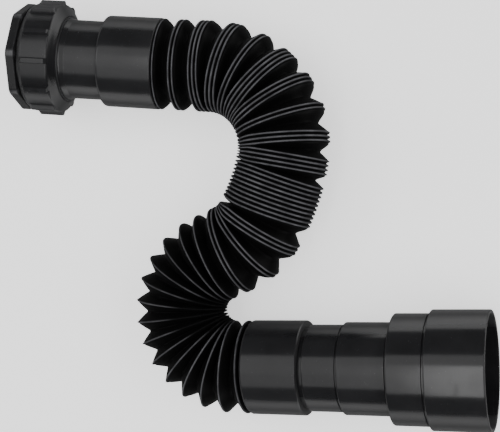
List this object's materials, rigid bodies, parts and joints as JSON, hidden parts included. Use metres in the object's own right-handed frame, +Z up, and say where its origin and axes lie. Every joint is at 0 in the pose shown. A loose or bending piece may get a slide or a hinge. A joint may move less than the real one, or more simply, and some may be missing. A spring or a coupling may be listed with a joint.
{
  "type": "pull-out waste hose",
  "caption": "Pull-out bellows waste hose that holds its shape, with a ribbed union nut and threaded adapter at one end and a stepped socket outlet at the other",
  "frame": {"origin": "centre of the bounding box on the ground plane, the hose lying flat", "axes": "+X is the way the outlet points and the longest extent, +Y is the inlet's side, +Z is up"},
  "size_m": [0.2289, 0.1996, 0.0563],
  "materials": {
    "pipe_plastic": "semi-gloss black moulded polypropylene",
    "sleeve_plastic": "semi-gloss black moulded polypropylene",
    "outlet_plastic": "semi-gloss black moulded polypropylene, clean edges",
    "nut_plastic": "semi-gloss black moulded polypropylene, worn on the ribs",
    "adapter_plastic": "semi-gloss black moulded polypropylene, scuffed edges",
    "ring_plastic": "smooth dark grey slip ring",
    "seal_rubber": "soft black sealing rubber",
    "bellows_plastic": "thin blow-moulded black polypropylene, glossy rims"
  },
  "bodies": {
    "inlet_end": {"tail_pipe": "pipe_plastic", "slip_ring": "ring_plastic", "seal_washer": "seal_rubber", "inlet_sleeve": "sleeve_plastic", "inlet_cuff": "bellows_plastic", "rings_inlet": "bellows_plastic", "folds_inlet": "bellows_plastic"},
    "nut": {"union_nut": "nut_plastic"},
    "adapter": {"threaded_adapter": "adapter_plastic"},
    "arch_1": {"rings_arch_1": "bellows_plastic", "folds_arch_1": "bellows_plastic"},
    "arch_2": {"rings_arch_2": "bellows_plastic", "folds_arch_2": "bellows_plastic"},
    "arch_3": {"rings_arch_3": "bellows_plastic", "folds_arch_3": "bellows_plastic"},
    "arch_4": {"rings_arch_4": "bellows_plastic", "folds_arch_4": "bellows_plastic"},
    "arch_5": {"rings_arch_5": "bellows_plastic", "folds_arch_5": "bellows_plastic"},
    "arch_6": {"rings_arch_6": "bellows_plastic", "folds_arch_6": "bellows_plastic"},
    "arch_7": {"rings_arch_7": "bellows_plastic", "folds_arch_7": "bellows_plastic"},
    "nest_near": {"rings_nest_near": "bellows_plastic", "folds_nest_near": "bellows_plastic"},
    "nest_far": {"rings_nest_far": "bellows_plastic", "folds_nest_far": "bellows_plastic"},
    "elbow_1": {"rings_elbow_1": "bellows_plastic", "folds_elbow_1": "bellows_plastic"},
    "elbow_2": {"rings_elbow_2": "bellows_plastic", "folds_elbow_2": "bellows_plastic"},
    "elbow_3": {"rings_elbow_3": "bellows_plastic", "folds_elbow_3": "bellows_plastic"},
    "elbow_4": {"rings_elbow_4": "bellows_plastic", "folds_elbow_4": "bellows_plastic"},
    "bend_1": {"rings_bend_1": "bellows_plastic", "folds_bend_1": "bellows_plastic"},
    "bend_2": {"rings_bend_2": "bellows_plastic", "folds_bend_2": "bellows_plastic"},
    "bend_3": {"rings_bend_3": "bellows_plastic", "folds_bend_3": "bellows_plastic"},
    "bend_4": {"rings_bend_4": "bellows_plastic", "folds_bend_4": "bellows_plastic"},
    "bend_5": {"rings_bend_5": "bellows_plastic", "folds_bend_5": "bellows_plastic"},
    "bend_6": {"rings_bend_6": "bellows_plastic", "folds_bend_6": "bellows_plastic"},
    "bend_7": {"rings_bend_7": "bellows_plastic", "folds_bend_7": "bellows_plastic"},
    "bend_8": {"rings_bend_8": "bellows_plastic", "folds_bend_8": "bellows_plastic"},
    "bend_9": {"rings_bend_9": "bellows_plastic", "folds_bend_9": "bellows_plastic"},
    "bend_10": {"rings_bend_10": "bellows_plastic", "folds_bend_10": "bellows_plastic"},
    "bend_11": {"rings_bend_11": "bellows_plastic", "folds_bend_11": "bellows_plastic"},
    "bend_12": {"rings_bend_12": "bellows_plastic", "folds_bend_12": "bellows_plastic"},
    "outlet_end": {"rings_outlet": "bellows_plastic", "outlet_cuff": "bellows_plastic", "outlet_sleeve": "sleeve_plastic", "stepped_outlet": "outlet_plastic"}
  },
  "joints": [
    {"name": "nut_turn", "type": "hinge", "parent": "inlet_end", "child": "nut", "pos_m": [-0.09823, 0.07208, 0.02855], "axis": [-0.9918, 0.0781, 0.1014], "range_deg": [0, 1080]},
    {"name": "adapter_screw_out", "type": "slide", "parent": "inlet_end", "child": "adapter", "axis": [-0.9918, 0.0781, 0.1014], "range_m": [0, 0.00693]},
    {"name": "arch_flex", "type": "hinge", "parent": "inlet_end", "child": "arch_1", "pos_m": [-0.01487, 0.06541, 0.0216], "axis": [0, 0, 1], "range_deg": [-2, 12], "deforming": ["folds_inlet"]},
    {"name": "arch_flex_2", "type": "hinge", "parent": "arch_1", "child": "arch_2", "pos_m": [-0.0054, 0.06266, 0.0216], "axis": [0, 0, 1], "range_deg": [-2, 12], "deforming": ["folds_arch_1"]},
    {"name": "arch_flex_3", "type": "hinge", "parent": "arch_2", "child": "arch_3", "pos_m": [0.0018, 0.05852, 0.0216], "axis": [0, 0, 1], "range_deg": [-2, 12], "deforming": ["folds_arch_2"]},
    {"name": "arch_flex_4", "type": "hinge", "parent": "arch_3", "child": "arch_4", "pos_m": [0.00921, 0.05136, 0.0216], "axis": [0, 0, 1], "range_deg": [-2, 12], "deforming": ["folds_arch_3"]},
    {"name": "arch_flex_5", "type": "hinge", "parent": "arch_4", "child": "arch_5", "pos_m": [0.01403, 0.0434, 0.0216], "axis": [0, 0, 1], "range_deg": [-2, 12], "deforming": ["folds_arch_4"]},
    {"name": "arch_flex_6", "type": "hinge", "parent": "arch_5", "child": "arch_6", "pos_m": [0.01665, 0.03516, 0.0216], "axis": [0, 0, 1], "range_deg": [-2, 12], "deforming": ["folds_arch_5"]},
    {"name": "arch_flex_7", "type": "hinge", "parent": "arch_6", "child": "arch_7", "pos_m": [0.01732, 0.02619, 0.0216], "axis": [0, 0, 1], "range_deg": [-2, 12], "deforming": ["folds_arch_6"]},
    {"name": "arch_flex_8", "type": "hinge", "parent": "arch_7", "child": "nest_near", "pos_m": [0.0156, 0.01573, 0.0216], "axis": [0, 0, 1], "range_deg": [-2, 12], "deforming": ["folds_arch_7"]},
    {"name": "stretch", "type": "slide", "parent": "nest_near", "child": "nest_far", "axis": [-0.3452, -0.9385, 0], "range_m": [0, 0.036], "deforming": ["folds_nest_near"]},
    {"name": "elbow_flex", "type": "hinge", "parent": "nest_far", "child": "elbow_1", "pos_m": [0.00768, -0.00524, 0.0216], "axis": [0, 0, 1], "range_deg": [-1.5, 10], "deforming": ["folds_nest_far"]},
    {"name": "elbow_flex_2", "type": "hinge", "parent": "elbow_1", "child": "elbow_2", "pos_m": [0.00228, -0.0136, 0.0216], "axis": [0, 0, 1], "range_deg": [-1.5, 10], "deforming": ["folds_elbow_1"]},
    {"name": "elbow_flex_3", "type": "hinge", "parent": "elbow_2", "child": "elbow_3", "pos_m": [-0.00378, -0.01859, 0.0216], "axis": [0, 0, 1], "range_deg": [-1.5, 10], "deforming": ["folds_elbow_2"]},
    {"name": "elbow_flex_4", "type": "hinge", "parent": "elbow_3", "child": "elbow_4", "pos_m": [-0.01222, -0.02262, 0.0216], "axis": [0, 0, 1], "range_deg": [-1.5, 10], "deforming": ["folds_elbow_3"]},
    {"name": "bend_flex", "type": "hinge", "parent": "elbow_4", "child": "bend_1", "pos_m": [-0.01814, -0.02535, 0.0216], "axis": [0, 0, -1], "range_deg": [-1, 12], "deforming": ["folds_elbow_4"]},
    {"name": "bend_flex_2", "type": "hinge", "parent": "bend_1", "child": "bend_2", "pos_m": [-0.02286, -0.02842, 0.0216], "axis": [0, 0, -1], "range_deg": [-1, 12], "deforming": ["folds_bend_1"]},
    {"name": "bend_flex_3", "type": "hinge", "parent": "bend_2", "child": "bend_3", "pos_m": [-0.02709, -0.03275, 0.0216], "axis": [0, 0, -1], "range_deg": [-1, 12], "deforming": ["folds_bend_2"]},
    {"name": "bend_flex_4", "type": "hinge", "parent": "bend_3", "child": "bend_4", "pos_m": [-0.03024, -0.03793, 0.0216], "axis": [0, 0, -1], "range_deg": [-1, 12], "deforming": ["folds_bend_3"]},
    {"name": "bend_flex_5", "type": "hinge", "parent": "bend_4", "child": "bend_5", "pos_m": [-0.03214, -0.04368, 0.0216], "axis": [0, 0, -1], "range_deg": [-1, 12], "deforming": ["folds_bend_4"]},
    {"name": "bend_flex_6", "type": "hinge", "parent": "bend_5", "child": "bend_6", "pos_m": [-0.0327, -0.04971, 0.0216], "axis": [0, 0, -1], "range_deg": [-1, 12], "deforming": ["folds_bend_5"]},
    {"name": "bend_flex_7", "type": "hinge", "parent": "bend_6", "child": "bend_7", "pos_m": [-0.03189, -0.05571, 0.0216], "axis": [0, 0, -1], "range_deg": [-1, 12], "deforming": ["folds_bend_6"]},
    {"name": "bend_flex_8", "type": "hinge", "parent": "bend_7", "child": "bend_8", "pos_m": [-0.02974, -0.06137, 0.0216], "axis": [0, 0, -1], "range_deg": [-1, 12], "deforming": ["folds_bend_7"]},
    {"name": "bend_flex_9", "type": "hinge", "parent": "bend_8", "child": "bend_9", "pos_m": [-0.02637, -0.06641, 0.0216], "axis": [0, 0, -1], "range_deg": [-1, 12], "deforming": ["folds_bend_8"]},
    {"name": "bend_flex_10", "type": "hinge", "parent": "bend_9", "child": "bend_10", "pos_m": [-0.02195, -0.07055, 0.0216], "axis": [0, 0, -1], "range_deg": [-1, 12], "deforming": ["folds_bend_9"]},
    {"name": "bend_flex_11", "type": "hinge", "parent": "bend_10", "child": "bend_11", "pos_m": [-0.01672, -0.0736, 0.0216], "axis": [0, 0, -1], "range_deg": [-1, 12], "deforming": ["folds_bend_10"]},
    {"name": "bend_flex_12", "type": "hinge", "parent": "bend_11", "child": "bend_12", "pos_m": [-0.01093, -0.07538, 0.0216], "axis": [0, 0, -1], "range_deg": [-1, 12], "deforming": ["folds_bend_11"]},
    {"name": "bend_flex_13", "type": "hinge", "parent": "bend_12", "child": "outlet_end", "pos_m": [-0.00376, -0.07578, 0.02161], "axis": [0, 0, -1], "range_deg": [-1, 12], "deforming": ["folds_bend_12"]}
  ],
  "couplings": [
    {"joint": "adapter_screw_out", "follows": "nut_turn", "m_per_rad": 0.00036749},
    {"joint": "arch_flex_2", "follows": "arch_flex", "ratio": 1},
    {"joint": "arch_flex_3", "follows": "arch_flex", "ratio": 1},
    {"joint": "arch_flex_4", "follows": "arch_flex", "ratio": 1},
    {"joint": "arch_flex_5", "follows": "arch_flex", "ratio": 1},
    {"joint": "arch_flex_6", "follows": "arch_flex", "ratio": 1},
    {"joint": "arch_flex_7", "follows": "arch_flex", "ratio": 1},
    {"joint": "arch_flex_8", "follows": "arch_flex", "ratio": 1},
    {"joint": "elbow_flex_2", "follows": "elbow_flex", "ratio": 1},
    {"joint": "elbow_flex_3", "follows": "elbow_flex", "ratio": 1},
    {"joint": "elbow_flex_4", "follows": "elbow_flex", "ratio": 1},
    {"joint": "bend_flex_2", "follows": "bend_flex", "ratio": 1},
    {"joint": "bend_flex_3", "follows": "bend_flex", "ratio": 1},
    {"joint": "bend_flex_4", "follows": "bend_flex", "ratio": 1},
    {"joint": "bend_flex_5", "follows": "bend_flex", "ratio": 1},
    {"joint": "bend_flex_6", "follows": "bend_flex", "ratio": 1},
    {"joint": "bend_flex_7", "follows": "bend_flex", "ratio": 1},
    {"joint": "bend_flex_8", "follows": "bend_flex", "ratio": 1},
    {"joint": "bend_flex_9", "follows": "bend_flex", "ratio": 1},
    {"joint": "bend_flex_10", "follows": "bend_flex", "ratio": 1},
    {"joint": "bend_flex_11", "follows": "bend_flex", "ratio": 1},
    {"joint": "bend_flex_12", "follows": "bend_flex", "ratio": 1},
    {"joint": "bend_flex_13", "follows": "bend_flex", "ratio": 1}
  ]
}
